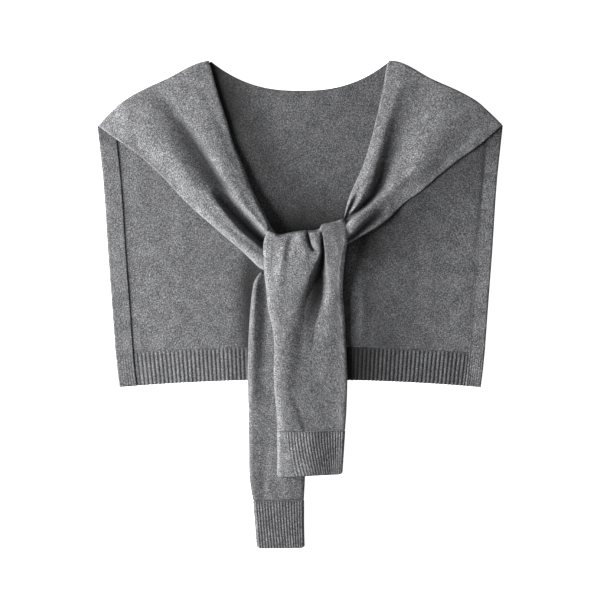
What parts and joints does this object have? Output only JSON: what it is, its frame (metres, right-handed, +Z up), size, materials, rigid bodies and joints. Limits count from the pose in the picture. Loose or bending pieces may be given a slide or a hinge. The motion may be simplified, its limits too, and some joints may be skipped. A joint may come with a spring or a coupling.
{
  "type": "capelet",
  "caption": "Grey fine-knit capelet laid flat: open back with a ribbed hem and turned-in sides, long sleeves knotted in front, ribbed cuffs.",
  "frame": {"origin": "bottom centre of the box round the whole garment: the floor that it lies on", "axes": "+Z up from the floor, +Y from the hem to the neck, +X to the right seen from above"},
  "size_m": [0.5014, 0.6047, 0.0311],
  "materials": {
    "knit": "matte heather grey fine knit",
    "rib": "matte heather grey rib knit"
  },
  "bodies": {
    "root": {"back_panel": "knit", "hem_rib": "rib", "side_band_left": "knit", "side_band_right": "knit", "sleeve_left": "knit", "sleeve_right": "knit", "knot_core": "knit", "front_tail": "knit", "rear_tail": "knit", "cuff_front": "rib", "cuff_rear": "rib"}
  },
  "joints": []
}
